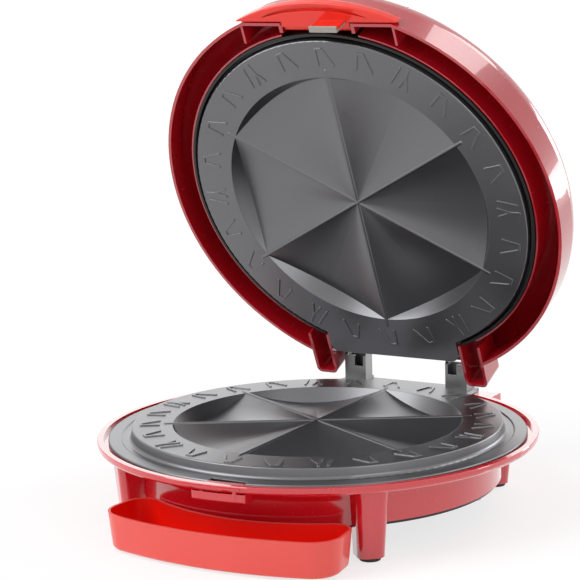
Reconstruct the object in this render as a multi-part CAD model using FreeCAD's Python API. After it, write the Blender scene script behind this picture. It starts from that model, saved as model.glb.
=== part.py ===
import FreeCAD
import Part
import math
import os

# Countertop quesadilla maker, about 12 inches across the plates, standing on four legs.
# Frame: X to the right, Y to the back where the hinge is, Z up. The pieces are built round
# the axis of the round base, the lid closed. Then the lid is turned open, and everything is
# moved back by base_centre_y, so that the origin lies on the counter under the middle of
# the whole open maker.

Vec = FreeCAD.Vector
X_AXIS = Vec(1, 0, 0)
Y_AXIS = Vec(0, 1, 0)
Z_AXIS = Vec(0, 0, 1)

# Size of the plain shapes that only cut or keep all that lies on one side
beyond = 400.0

# Base housing
base_centre_y = 6.0
rim_radius = 175.0
rim_height = 62.0
rim_ring_width = 5.0
rim_edge_round = 0.6
rim_lip_round = 3.0
rim_overhang = 30.0
housing_wall = 2.7
wall_bottom_height = 25.0
shoulder_round = 12.0
rim_rib_x = 6.0
rim_rib_half_width = 25.0
rim_rib_height = 1.5
rim_rib_drop = 1.5
rim_rib_stand_out = 1.0

# Bar under the front of the rim
front_bar_x = 12.0
front_bar_half_width = 22.0
front_bar_height = 7.0
front_bar_depth = 11.5
front_bar_set_in = 0.5
front_bar_round = 2.0
front_bar_peg_radius = 1.6
front_bar_peg_height = 4.0
front_bar_peg_reach = 14.0

# Legs and feet
leg_angle = 43.0
leg_stand_out = 21.0
leg_width = 26.0
leg_draft = 2.5
leg_corner = 7.0
leg_root = 1.9
foot_height = 3.0
foot_radius = 8.0
foot_stem_radius = 3.0
foot_stem_height = 4.0
foot_inset = 1.0
base_ear_height = 20.0
base_ear_round = 6.0

# Cooking plates
flange_gap = 4.0
flange_thickness = 3.0
flange_width = 18.7
flange_step_in = 10.0
flange_step_drop = 0.8
plateau_rise = 7.8
plate_thickness = 3.5
plate_side_wall = 3.6
plate_edge_round = 1.2
plate_gap = 2.7
ring_width = 32.3
pocket_depth = 11.0
pocket_wall_slope = 0.65
wedge_count = 6
ridge_land = 1.2
bead_radius = 1.7
bead_rise = 0.7
bead_overrun = 6.0
closed_gap = 0.3
fit_gap = 0.3
plate_hub_radius = 12.0
plate_hub_depth = 3.0
upper_skirt_depth = 8.0
seam_angle = 22.5

# Raised marks on the ring of each plate
mark_count = 24
mark_set_in = 14.3
mark_width = 1.8
mark_height = 0.8

# Hinge
hinge_set_in = 13.5
hinge_rise = 33.5
hinge_float = 5.0
rest_open_angle = 66.0
hinge_pin_radius = 3.0
pin_end = 3.0
pin_head = 1.5
pin_head_rim = 1.8
pin_head_round = 0.5
clip_groove_start = 1.2
clip_groove_width = 1.0
clip_groove_depth = 0.7
clip_sheet = 0.8
clip_rim = 1.6
running_gap = 0.05
bracket_inner_x = 38.0
bracket_width = 20.0
bracket_sheet = 2.5
bracket_depth = 6.0
bracket_screw_forward = 0.25
bracket_foot_reach = 2.5
bracket_top_margin = 3.0
bracket_corner = 3.5
window_width = 8.0
window_height = 9.0
web_front_gap = 6.5
web_height = 25.0
ledge_half_width = 62.0
ledge_root = 25.3
ledge_behind_hinge = 9.0
ledge_thickness = 3.0
tab_side_gap = 0.6
tab_hinge_gap = 8.5
tab_corner = 8.0
arm_length = 15.0
arm_boss_top = 88.0
arm_height = 9.0
arm_screw_length = 17.0
knuckle_radius = 5.5
side_play = 0.5

# Lid housing
lid_rim_gap = 11.5
lid_shell = 2.5
lid_wall_height = 22.5
lid_height = 55.0
lid_shoulder_in = 25.0
lid_shoulder_drop = 8.0
lid_wall_flare = 0.6
lid_bend_in = 5.4
lid_bend_rise = 15.0
bay_depth = 13.0
bay_height = 12.5
bay_rib_x = 66.0
bay_rib_sheet = 2.0
bay_rib_length = 18.5
notch_half_width = 61.0
notch_before_hinge = 11.5
ear_width = 20.0
ear_behind_hinge = 16.5
ear_height = 26.0
ear_front_in = 12.5
ear_round = 5.0
ear_hollow_round = 2.5
rear_corner_y = 130.0
back_wall_rise = 8.0
inner_rib_gap = 0.6
inner_rib_width = 1.4
inner_rib_height = 30.0
dimple_ball = 2.4
dimple_depth = 0.7
dimple_rows = 3
dimples_per_row = 13
dimple_step_angle = 2.6
dimple_row_step = 5.0

# Black inner ring of the lid
shield_gap = 2.7
shield_wall = 2.2
shelf_width = 24.0
shield_shelf_rise = 14.0
shelf_sheet = 2.0
shield_rim_gap = 1.5
ring_screw_length = 12.0
plate_screw_length = 9.0
reflector_screw_length = 8.0

# Latch
handle_stand_out = 4.5
handle_half_width = 74.0
handle_thickness = 10.0
handle_gap = 1.1
scoop_half_width = 48.0
scoop_tip_out = 4.0
scoop_front_lip = 2.5
scoop_width = 4.5
scoop_depth = 3.0
tongue_back_in = 3.3
latch_pivot_in = 5.0
latch_pivot_rise = 18.5
latch_pin_radius = 1.5
latch_barrel_radius = 4.0
latch_opening_half = 31.0
lug_sheet = 3.0
lug_reach = 3.8
lug_overlap = 0.6
latch_side_gap = 1.2
latch_pin_end = 2.4
catch_x = 15.0
catch_half_width = 15.0
catch_lip_reach = 4.2
catch_lip_sheet = 1.5
catch_recess = 1.2
catch_notch_width = 7.0
hook_half_width = 12.0
hook_overlap = 1.2
hook_lip_gap = 0.9
hook_front_sheet = 1.4
hook_sheet = 1.6
hook_nose_height = 1.2
hook_foot_rise = 5.0

# Latch return spring
spring_wire_radius = 0.4
spring_mean_radius = 2.7
spring_turns = 6
spring_pitch = 1.3
spring_leg = 4.0

# Drip tray
tray_x = 8.0
tray_stand_out = 17.0
tray_front_radius = 300.0
tray_wall_gap = 4.5
tray_leg_gap = 5.5
tray_front_corner = 24.0
tray_back_corner = 15.0
tray_back_corner_in = 17.0
tray_wall = 2.2
tray_draft = 3.0
tray_top = 30.0
tray_bottom = 1.5
tray_bottom_round = 4.0
tongue_half_width = 29.7
tongue_thickness = 2.5
tongue_length = 50.0
rail_gap = 0.3
rail_sheet = 2.5
rail_lip = 6.0
rail_length = 46.0

# Inside pieces
cover_thickness = 2.5
cover_boss_height = 16.0
cover_screw_length = 12.0
vent_count = 6
vent_pitch = 9.0
vent_first_y = 20.0
vent_half_width = 1.8
vent_half_length = 30.0
element_set_in = 19.3
element_radius = 3.3
element_end_angle = 8.0
element_leg = 9.0
clamp_count = 6
clamp_angle = 5.0
clamp_sheet = 0.8
clamp_foot_width = 4.0
insulator_radius = 4.6
insulator_height = 5.0
insulator_clearance = 1.0
blade_width = 5.0
blade_height = 5.0
blade_sheet = 0.8
post_set_in = 9.3
post_radius = 3.5
post_hole_depth = 10.0
reflector_sheet = 0.8
reflector_hole = 18.0
reflector_gap = 0.7
reflector_seat = 7.8
lower_reflector_drop = 15.5
thermostat_radius = 8.0
thermostat_height = 8.5
thermostat_blade_x = 5.0
thermostat_blade_width = 6.0
fuse_y = 70.0
fuse_radius = 2.2
fuse_half_length = 7.0
fuse_lead_radius = 0.6
fuse_lead_half_length = 12.0
block_half_width = 16.0
block_front_y = 98.0
block_depth = 14.0
block_height = 12.0
block_floor = 5.0
block_pitch = 10.0
block_bore = 2.6
screw_shank_radius = 1.9
screw_head_radius = 3.5
screw_head_height = 2.2
screw_clearance = 0.15
seat_gap = 0.2
boss_radius = 5.0
gland_height = 34.9
gland_radius = 7.0
gland_flange_radius = 9.0
gland_bore = 3.4
gland_inside = 8.0
gland_flange = 3.0
gland_nose = 14.0

# Radii and distances from the axis that follow from the rim
wall_radius = rim_radius - rim_overhang
leg_reach = wall_radius + leg_stand_out
leg_inner = wall_radius - leg_root
rim_inner_radius = rim_radius - rim_ring_width
flange_radius = rim_inner_radius - flange_gap
flange_step_radius = flange_radius - flange_step_in
plate_radius = flange_radius - flange_width
pocket_radius = plate_radius - ring_width
mark_radius = plate_radius - mark_set_in
element_ring_radius = plate_radius - element_set_in
post_ring_radius = plate_radius - post_set_in
shield_inner_radius = plate_radius + shield_gap - shelf_width
inner_rib_radius = plate_radius + shield_gap + shield_wall + inner_rib_gap
lower_reflector_radius = wall_radius - housing_wall - reflector_gap
upper_reflector_radius = shield_inner_radius + reflector_seat
hinge_y = rim_radius - hinge_set_in
ledge_front_y = plate_radius - ledge_root
ledge_back_y = hinge_y + ledge_behind_hinge
tab_back_y = hinge_y - tab_hinge_gap
arm_front_y = tab_back_y - arm_length
notch_front_y = hinge_y - notch_before_hinge
ear_front_y = notch_front_y - ear_front_in
ear_back_y = hinge_y + ear_behind_hinge
bracket_screw_y = hinge_y - bracket_screw_forward
lid_shoulder_radius = rim_radius - lid_shoulder_in
bay_chord_y = rim_radius - bay_depth
bay_rib_back_y = bay_chord_y - bay_rib_length
handle_reach = rim_radius + handle_stand_out
latch_pivot_y = bay_chord_y - latch_pivot_in
tongue_back_y = bay_chord_y - tongue_back_in
catch_lip_radius = rim_inner_radius - catch_lip_reach
catch_notch_y = flange_radius - catch_notch_width
hook_nose_y = catch_lip_radius + hook_overlap
hook_front_y = catch_lip_radius - hook_lip_gap
hook_back_y = hook_front_y - hook_front_sheet - hook_sheet
tray_front_y = rim_radius + tray_stand_out
tray_back_radius = wall_radius + tray_wall_gap
leg_near_x = (leg_reach * math.sin(math.radians(leg_angle))
              - leg_width / 2 * math.cos(math.radians(leg_angle)))
tray_half_length = leg_near_x - tray_leg_gap
tray_back_corner_x = tray_half_length - tray_back_corner_in

# Heights that follow from the values above
ledge_top = rim_height - flange_thickness - closed_gap
rim_underside = ledge_top - housing_wall
lower_ring_z = rim_height + plateau_rise
lower_back_z = lower_ring_z - plate_thickness
upper_ring_z = lower_ring_z + plate_gap
upper_back_z = upper_ring_z + plate_thickness
hinge_z = rim_height + hinge_rise
lid_rim_z = rim_height + lid_rim_gap
lid_top_z = lid_rim_z + lid_height
cover_bottom = wall_bottom_height - cover_thickness
shelf_z = upper_back_z + shield_shelf_rise
latch_pivot_z = rim_height + latch_pivot_rise
bay_roof_z = lid_rim_z + bay_height
ledge_z = rim_height + closed_gap
bracket_z = ledge_z + ledge_thickness
hook_low = ledge_top + closed_gap
lower_reflector_z = lower_back_z - lower_reflector_drop
wedge_angle = 360.0 / wedge_count
tab_half_width = notch_half_width - tab_side_gap


def box(x0, x1, y0, y1, z0, z1):
    return Part.makeBox(x1 - x0, y1 - y0, z1 - z0, Vec(x0, y0, z0))


def rod(x, y, z, radius, length, axis=Z_AXIS):
    return Part.makeCylinder(radius, length, Vec(x, y, z), axis)


def ring(inner, outer, z0, z1):
    return rod(0, 0, z0, outer, z1 - z0).cut(rod(0, 0, z0, inner, z1 - z0))


def fused(shapes):
    return shapes[0].multiFuse(shapes[1:]).removeSplitter()


def turned(shape, degrees):
    copy = shape.copy()
    copy.rotate(Vec(0, 0, 0), Z_AXIS, degrees)
    return copy


def mirrored(shape):
    return shape.mirror(Vec(0, 0, 0), X_AXIS)


def both_sides(shape):
    return [shape, mirrored(shape)]


def around(shape, angles):
    return [turned(shape, angle) for angle in angles]


def outline_wire(points, place):
    """Closed wire through points: pairs are line ends, fours are an arc's middle and end."""
    edges = []
    here = place(*points[0][-2:])
    start = here
    for item in points[1:]:
        there = place(*item[-2:])
        if len(item) == 4:
            edges.append(Part.Arc(here, place(*item[:2]), there).toShape())
        else:
            edges.append(Part.makeLine(here, there))
        here = there
    if here.distanceToPoint(start) > 1e-6:
        edges.append(Part.makeLine(here, start))
    return Part.Wire(edges)


def revolved(points):
    face = Part.Face(outline_wire(points, lambda r, z: Vec(r, 0, z)))
    return face.revolve(Vec(0, 0, 0), Z_AXIS, 360)


def side_prism(points, x0, x1):
    face = Part.Face(outline_wire(points, lambda y, z: Vec(x0, y, z)))
    return face.extrude(Vec(x1 - x0, 0, 0))


def plan_prism(points, z0, z1):
    face = Part.Face(outline_wire(points, lambda x, y: Vec(x, y, z0)))
    return face.extrude(Vec(0, 0, z1 - z0))


def arc_middle(centre, start, end):
    """Point of the short arc round centre halfway between two of its points."""
    middle_x = (start[0] + end[0]) / 2 - centre[0]
    middle_y = (start[1] + end[1]) / 2 - centre[1]
    radius = math.hypot(start[0] - centre[0], start[1] - centre[1])
    scale = radius / math.hypot(middle_x, middle_y)
    return (centre[0] + middle_x * scale, centre[1] + middle_y * scale)


def edges_where(shape, test):
    return [edge for edge in shape.Edges if test(edge)]


def screw(x, y, z, axis, length):
    """Pan head screw: the head stands on the seat at z, the shank runs along axis."""
    direction = Vec(axis).normalize()
    head_start = Vec(x, y, z) - direction * screw_head_height
    head = Part.makeCylinder(screw_head_radius, screw_head_height, head_start, direction)
    head = head.makeFillet(0.7, edges_where(head, lambda e: e.CenterOfMass.distanceToPoint(head_start) < 0.01
                                            and e.Length > screw_head_radius))
    shank = Part.makeCylinder(screw_shank_radius, length, Vec(x, y, z), direction)
    slot_half_width = 0.5
    slot_half_length = 2.2
    slot_depth = 1.1
    cuts = []
    for long_side, short_side in ((slot_half_length, slot_half_width), (slot_half_width, slot_half_length)):
        cut = Part.makeBox(2 * long_side, 2 * short_side, slot_depth, Vec(-long_side, -short_side, 0))
        cut.Placement = FreeCAD.Placement(head_start, FreeCAD.Rotation(Z_AXIS, direction))
        cuts.append(cut)
    return fused([head, shank]).cut(cuts[0]).cut(cuts[1])


def screw_hole(x, y, z, axis, length):
    direction = Vec(axis).normalize()
    return Part.makeCylinder(screw_shank_radius + screw_clearance, length, Vec(x, y, z), direction)


def on_circle(radius, degrees):
    return radius * math.cos(math.radians(degrees)), radius * math.sin(math.radians(degrees))


# Places round the base, counted from the +X axis
leg_angles = [270 - leg_angle, 270 + leg_angle, 90 - leg_angle, 90 + leg_angle]
cover_screw_angles = [0, 180, 250, 290, 70, 110]
cover_boss_ring = wall_radius - housing_wall - boss_radius + 1.2
post_angles = [30, 150, 210, 330]
lid_boss_angles = [0, 180, 225, 315]
clamp_angles = [index * 360.0 / clamp_count - clamp_angle / 2 for index in range(clamp_count)]
lid_boss_ring = inner_rib_radius - boss_radius - 1.8


def leg_section(z, inset):
    """Rounded rectangle of a leg that stands out along +X."""
    inner = leg_inner
    outer = leg_reach - 2 * inset
    half = leg_width / 2 - inset
    corner = leg_corner
    bend = corner * (1 - math.sqrt(0.5))
    points = [
        (inner, -half),
        (outer - corner, -half),
        (outer - bend, -half + bend, outer, -half + corner),
        (outer, half - corner),
        (outer - bend, half - bend, outer - corner, half),
        (inner, half),
    ]
    return outline_wire(points, lambda x, y: Vec(x, y, z))


def make_leg():
    top = rim_height - flange_thickness
    leg = Part.makeLoft([leg_section(foot_height, leg_draft), leg_section(top, 0)], True, True)
    stem_hole = rod(foot_ring(), 0, foot_height, foot_stem_radius + seat_gap, foot_stem_height + seat_gap)
    return leg.cut(stem_hole)


def foot_ring():
    return (wall_radius + leg_reach - 2 * leg_draft) / 2 - foot_inset


def housing_interior():
    """Space inside the tub, up to the ledge that carries the lower plate."""
    inner = wall_radius - housing_wall
    middle_r = wall_radius + shoulder_round
    middle_z = rim_underside - shoulder_round
    radius = shoulder_round + housing_wall
    points = [
        (0, wall_bottom_height - 1),
        (inner, wall_bottom_height - 1),
        (inner, middle_z),
        (middle_r - radius * math.sqrt(0.5), middle_z + radius * math.sqrt(0.5), middle_r, ledge_top),
        (rim_inner_radius, ledge_top),
        (rim_inner_radius, rim_height + 1),
        (0, rim_height + 1),
    ]
    return revolved(points)


def housing_shell():
    middle_r = wall_radius + shoulder_round
    middle_z = rim_underside - shoulder_round
    bend = shoulder_round * math.sqrt(0.5)
    lip_bend = rim_lip_round * (1 - math.sqrt(0.5))
    points = [
        (0, wall_bottom_height),
        (wall_radius, wall_bottom_height),
        (wall_radius, middle_z),
        (middle_r - bend, middle_z + bend, middle_r, rim_underside),
        (rim_radius - rim_lip_round, rim_underside),
        (rim_radius - lip_bend, rim_underside + lip_bend, rim_radius, rim_underside + rim_lip_round),
        (rim_radius, rim_height - rim_edge_round),
        (rim_radius - rim_edge_round, rim_height),
        (0, rim_height),
    ]
    return revolved(points)


def base_ear():
    """Rear corner of the base under the lid's ear, open below."""
    height = base_ear_height
    x0 = notch_half_width
    x1 = notch_half_width + ear_width
    outer = box(x0, x1, ear_front_y, ear_back_y, rim_height - height, rim_height)
    outer = outer.makeFillet(base_ear_round, edges_where(outer, lambda e: abs(e.Length - height) < 0.01
                                              and e.CenterOfMass.y > ear_back_y - 1))
    hollow = box(x0 + lid_shell, x1 - lid_shell, ear_front_y, ear_back_y - lid_shell,
                 rim_height - height - 1, rim_height - lid_shell)
    return outer.cut(hollow)


def rim_sector(inner, outer, z0, z1, middle_x, half_width):
    """Piece of a ring at the front, between two upright planes."""
    window = box(middle_x - half_width, middle_x + half_width, -outer - 1, 0, z0, z1)
    return ring(inner, outer, z0, z1).common(window)


def front_bar_pegs(radius, top):
    """Pegs that stand in the rim and carry the bar, or the holes for them."""
    y = -(rim_inner_radius + front_bar_peg_radius + seat_gap)
    low = rim_underside - front_bar_height / 2
    return [rod(front_bar_x + side * front_bar_peg_reach, y, low, radius, top - low) for side in (-1, 1)]


def make_base_housing():
    legs = around(make_leg(), leg_angles)
    ears = both_sides(base_ear())
    body = fused([housing_shell()] + legs + ears).cut(housing_interior())
    boss = rod(cover_boss_ring, 0, wall_bottom_height, boss_radius, cover_boss_height)
    rib_top = rim_height - rim_rib_drop
    rib = rim_sector(rim_radius - 1, rim_radius + rim_rib_stand_out, rib_top - rim_rib_height, rib_top,
                     rim_rib_x, rim_rib_half_width)
    catch_lip = rim_sector(catch_lip_radius, rim_inner_radius + 1, rim_height - catch_lip_sheet, rim_height,
                           catch_x, catch_half_width)
    body = fused([body, rib, catch_lip] + around(boss, cover_screw_angles))
    body = body.cut(box(catch_x - catch_half_width, catch_x + catch_half_width, -rim_inner_radius + 1,
                        -catch_notch_y, ledge_top - catch_recess, ledge_top + 0.5))
    peg_top = rim_underside + front_bar_peg_height + seat_gap
    for hole in front_bar_pegs(front_bar_peg_radius + screw_clearance, peg_top):
        body = body.cut(hole)
    for angle in cover_screw_angles:
        x, y = on_circle(cover_boss_ring, angle)
        body = body.cut(screw_hole(x, y, wall_bottom_height - 1, Z_AXIS, cover_screw_length + 1))
    gland_hole = rod(0, wall_radius - gland_inside, gland_height, gland_radius + seat_gap,
                     gland_inside + 4, Y_AXIS)
    return body.cut(gland_hole)


def make_feet():
    pad = rod(foot_ring(), 0, 0, foot_radius, foot_height)
    rim_edges = edges_where(pad, lambda e: e.CenterOfMass.z < 0.01 and e.Length > foot_radius)
    pad = pad.makeFillet(0.8, rim_edges)
    stem = rod(foot_ring(), 0, foot_height - 0.5, foot_stem_radius, foot_stem_height)
    return Part.makeCompound(around(fused([pad, stem]), leg_angles))


def make_bottom_cover():
    disc = rod(0, 0, cover_bottom, leg_inner - fit_gap, cover_thickness)
    tongue_low = cover_bottom - rail_gap - tongue_thickness
    rail_low = tongue_low - rail_gap - rail_sheet
    rail_corner_x = tongue_half_width + rail_sheet + rail_gap + tray_x
    rail_front = -math.sqrt((wall_radius - 3) ** 2 - rail_corner_x ** 2)
    rail_back = rail_front + rail_length
    web_x = tongue_half_width + rail_gap
    rail = fused([
        box(web_x, web_x + rail_sheet, rail_front, rail_back, rail_low, cover_bottom + 1),
        box(web_x - rail_lip, web_x + rail_sheet, rail_front, rail_back, rail_low, rail_low + rail_sheet),
    ])
    rails = both_sides(rail)
    for item in rails:
        item.translate(Vec(tray_x, 0, 0))
    cover = fused([disc] + rails)
    for row in range(vent_count):
        y = vent_first_y + row * vent_pitch
        slot = box(-vent_half_length, vent_half_length, y - vent_half_width, y + vent_half_width,
                   cover_bottom - 1, wall_bottom_height + 1)
        cover = cover.cut(slot)
    for angle in cover_screw_angles:
        x, y = on_circle(cover_boss_ring, angle)
        cover = cover.cut(screw_hole(x, y, cover_bottom - 1, Z_AXIS, cover_thickness + 2))
    return cover


def make_cover_screws():
    one = screw(cover_boss_ring, 0, cover_bottom, Z_AXIS, cover_screw_length)
    return Part.makeCompound(around(one, cover_screw_angles))


def make_front_bar():
    top = rim_underside - seat_gap
    low = top - front_bar_height
    outer = rim_radius - front_bar_set_in
    bar = rim_sector(outer - front_bar_depth, outer, low, top, front_bar_x, front_bar_half_width)
    bar = bar.makeFillet(front_bar_round, edges_where(bar, lambda e: e.CenterOfMass.z < top - 0.1
                                                      and e.CenterOfMass.y < -outer + front_bar_depth / 2))
    return fused([bar] + front_bar_pegs(front_bar_peg_radius, rim_underside + front_bar_peg_height))


def wedge_cone(shift_down, shift_out):
    """Cone with its tip at the centre of the plate: under the plate it fills one wedge."""
    middle_radius = pocket_radius * math.cos(math.radians(wedge_angle / 2))
    drop = math.atan2(pocket_depth, middle_radius)
    half = math.cos(math.radians(wedge_angle / 2))
    tilt = math.atan2(math.cos(drop) - half, math.sin(drop))
    opening = tilt + drop
    height = 2 * pocket_radius
    axis = Vec(math.cos(tilt), 0, math.sin(tilt))
    cone = Part.makeCone(0, height * math.tan(opening), height, Vec(shift_out, 0, -shift_down), axis)
    return cone


def pocket_bowl(shift_down, spread):
    """Round bowl that bounds the pockets: the full circle at the top, narrower below."""
    depth = pocket_depth + 12.0
    top = pocket_radius + spread
    bowl = Part.makeCone(top - pocket_wall_slope * depth, top, depth, Vec(0, 0, -depth - shift_down))
    return bowl


def capsule(start, end):
    """Low bar with round ends from one point to the other."""
    dx = end[0] - start[0]
    dy = end[1] - start[1]
    length = math.hypot(dx, dy)
    nx = -dy / length * mark_width / 2
    ny = dx / length * mark_width / 2
    ex = dx / length * mark_width / 2
    ey = dy / length * mark_width / 2
    points = [
        (start[0] + nx, start[1] + ny),
        (start[0] - ex, start[1] - ey, start[0] - nx, start[1] - ny),
        (end[0] - nx, end[1] - ny),
        (end[0] + ex, end[1] + ey, end[0] + nx, end[1] + ny),
    ]
    return plan_prism(points, -1.0, mark_height)


def chevron_mark():
    points = [(-7.0, 5.0), (7.0, 5.0), (7.5, -0.5), (-7.0, -8.5)]
    return [capsule(points[i], points[i + 1]) for i in range(3)]


def forked_mark():
    fork = (2.0, -2.0)
    return [
        capsule((8.5, 5.0), (-7.5, 8.0)),
        capsule((9.5, -2.0), fork),
        capsule(fork, (-8.5, 1.2)),
        capsule(fork, (-8.5, -6.0)),
    ]


def plate_marks():
    """Marks round the ring: a forked one in the middle of each wedge, chevrons elsewhere."""
    marks = []
    per_wedge = mark_count // wedge_count
    for index in range(mark_count):
        kind = forked_mark() if index % per_wedge == per_wedge // 2 else chevron_mark()
        for bar in kind:
            bar.translate(Vec(mark_radius, 0, 0))
            marks.append(turned(bar, -90 + index * 360.0 / mark_count))
    return marks


def plate_core(lower_points):
    """Plate with food side up and the ring at z 0; lower_points close its section."""
    bend = plate_edge_round * (1 - math.sqrt(0.5))
    points = [
        (0, 0),
        (plate_radius - plate_edge_round, 0),
        (plate_radius - bend, -bend, plate_radius, -plate_edge_round),
    ] + lower_points + [(0, -plate_thickness)]
    body = turned(revolved(points), seam_angle)
    wedge_angles = [-90 + wedge_angle / 2 + wedge_angle * index for index in range(wedge_count)]
    bowl_body = pocket_bowl(0, plate_thickness)
    bowl_body = turned(bowl_body.common(rod(0, 0, -beyond, beyond, beyond - 0.5)), seam_angle)
    for angle in wedge_angles:
        body = body.fuse(turned(wedge_cone(plate_thickness, ridge_land), angle).common(bowl_body))
    body = body.fuse(rod(0, 0, -plate_thickness - plate_hub_depth, plate_hub_radius, plate_hub_depth + 2))
    bowl = turned(pocket_bowl(0, 0), seam_angle)
    for angle in wedge_angles:
        body = body.cut(turned(wedge_cone(0, ridge_land), angle).common(bowl))
    bead_length = pocket_radius + bead_overrun
    bead = rod(0, 0, bead_rise - bead_radius, bead_radius, bead_length, X_AXIS)
    bead_end = Part.makeSphere(bead_radius, Vec(bead_length, 0, bead_rise - bead_radius))
    beads = []
    for index in range(wedge_count):
        beads.append(turned(bead.fuse(bead_end), -90 + wedge_angle * index))
    centre_knob = Part.makeSphere(bead_radius + 0.5, Vec(0, 0, bead_rise - bead_radius))
    return body.multiFuse(beads + [centre_knob] + plate_marks())


def make_lower_plate():
    flange_top = rim_height - lower_ring_z
    flange_low = flange_top - flange_thickness
    step = flange_top - flange_step_drop
    foot_r = plate_radius + 3.2
    lower_points = [
        (plate_radius + 0.6, step + 2.6),
        (plate_radius + 1.4, step + 0.8, foot_r, step),
        (flange_step_radius - 1.0, step),
        (flange_step_radius, flange_top),
        (flange_radius - 0.8, flange_top),
        (flange_radius, flange_top - 0.8),
        (flange_radius, flange_low),
        (plate_radius - 0.4, flange_low),
        (plate_radius - plate_side_wall, -plate_thickness),
    ]
    plate = plate_core(lower_points)
    plate.translate(Vec(0, 0, lower_ring_z))
    inside_flange = rod(0, 0, rim_height - flange_thickness, flange_radius, beyond)
    ledge_low = box(-ledge_half_width, ledge_half_width, ledge_front_y, ledge_back_y,
                    rim_height - flange_thickness, bracket_z).common(inside_flange)
    ledge_low = ledge_low.cut(rod(0, 0, 0, plate_radius - 1, beyond))
    ledge = box(-ledge_half_width, ledge_half_width, ledge_front_y, ledge_back_y, ledge_z, bracket_z)
    ledge = ledge.cut(rod(0, 0, 0, plate_radius - 1, beyond))
    plate = plate.multiFuse([ledge_low, ledge])
    notch = box(catch_x - catch_half_width, catch_x + catch_half_width, -rim_radius, -catch_notch_y,
                0, rim_height + 1)
    plate = plate.cut(notch)
    for x in bracket_screw_x():
        plate = plate.cut(screw_hole(x, bracket_screw_y, bracket_z + 1, -Z_AXIS, 1 + ledge_thickness + 1))
    return plate


def bracket_screw_x():
    centre = bracket_inner_x + bracket_width / 2
    return [centre, -centre]


def arm_span():
    x0 = bracket_inner_x + bracket_sheet + side_play
    x1 = bracket_inner_x + bracket_width - bracket_sheet - side_play
    return x0, x1


def arm_screw_place():
    x0, x1 = arm_span()
    return (x0 + x1) / 2, (arm_front_y + tab_back_y) / 2


def arm_boss():
    """Boss on the tab of the upper plate that carries one hinge arm."""
    x0, x1 = arm_span()
    boss = box(x0, x1, arm_front_y, tab_back_y, upper_back_z - 1, arm_boss_top)
    x, y = arm_screw_place()
    return boss.cut(screw_hole(x, y, arm_boss_top + 1, -Z_AXIS, arm_screw_length - arm_height + 2))


def hinge_arm():
    """Arm from its boss back to the hinge pin."""
    x0, x1 = arm_span()
    top = arm_boss_top + arm_height
    points = [
        (arm_front_y, arm_boss_top),
        (tab_back_y, arm_boss_top),
        (hinge_y, hinge_z - knuckle_radius),
        (hinge_y, hinge_z + knuckle_radius),
        (tab_back_y, top),
        (arm_front_y, top),
    ]
    arm = side_prism(points, x0, x1)
    barrel = rod(x0, hinge_y, hinge_z, knuckle_radius, x1 - x0, X_AXIS)
    bore = rod(x0 - 1, hinge_y, hinge_z, hinge_pin_radius + running_gap, x1 - x0 + 2, X_AXIS)
    x, y = arm_screw_place()
    return fused([arm, barrel]).cut(bore).cut(screw_hole(x, y, arm_boss_top - 1, Z_AXIS, arm_height + 2))


def make_hinge_arms():
    return Part.makeCompound(both_sides(hinge_arm()))


def make_arm_screws():
    x, y = arm_screw_place()
    return Part.makeCompound(both_sides(screw(x, y, arm_boss_top + arm_height, -Z_AXIS, arm_screw_length)))


def make_upper_plate():
    """Upper plate in the closed position, food side down."""
    skirt_low = -upper_skirt_depth
    lower_points = [
        (plate_radius + 0.8, skirt_low + 2),
        (plate_radius + 2.0, skirt_low + 1.6),
        (plate_radius + 2.0, skirt_low),
        (plate_radius - 1.6, skirt_low),
        (plate_radius - plate_side_wall, -plate_thickness),
    ]
    plate = plate_core(lower_points)
    plate.rotate(Vec(0, 0, 0), X_AXIS, 180)
    plate.translate(Vec(0, 0, upper_ring_z))
    half = tab_half_width
    corner = tab_corner
    bend = corner * (1 - math.sqrt(0.5))
    points = [
        (-half, ledge_front_y),
        (half, ledge_front_y),
        (half, tab_back_y - corner),
        (half - bend, tab_back_y - bend, half - corner, tab_back_y),
        (-half + corner, tab_back_y),
        (-half + bend, tab_back_y - bend, -half, tab_back_y - corner),
    ]
    tab = plan_prism(points, upper_ring_z, upper_back_z)
    tab = tab.cut(rod(0, 0, upper_ring_z - 1, plate_radius - plate_side_wall - 1, plate_thickness + 2))
    return plate.multiFuse([tab] + both_sides(arm_boss()))


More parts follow.
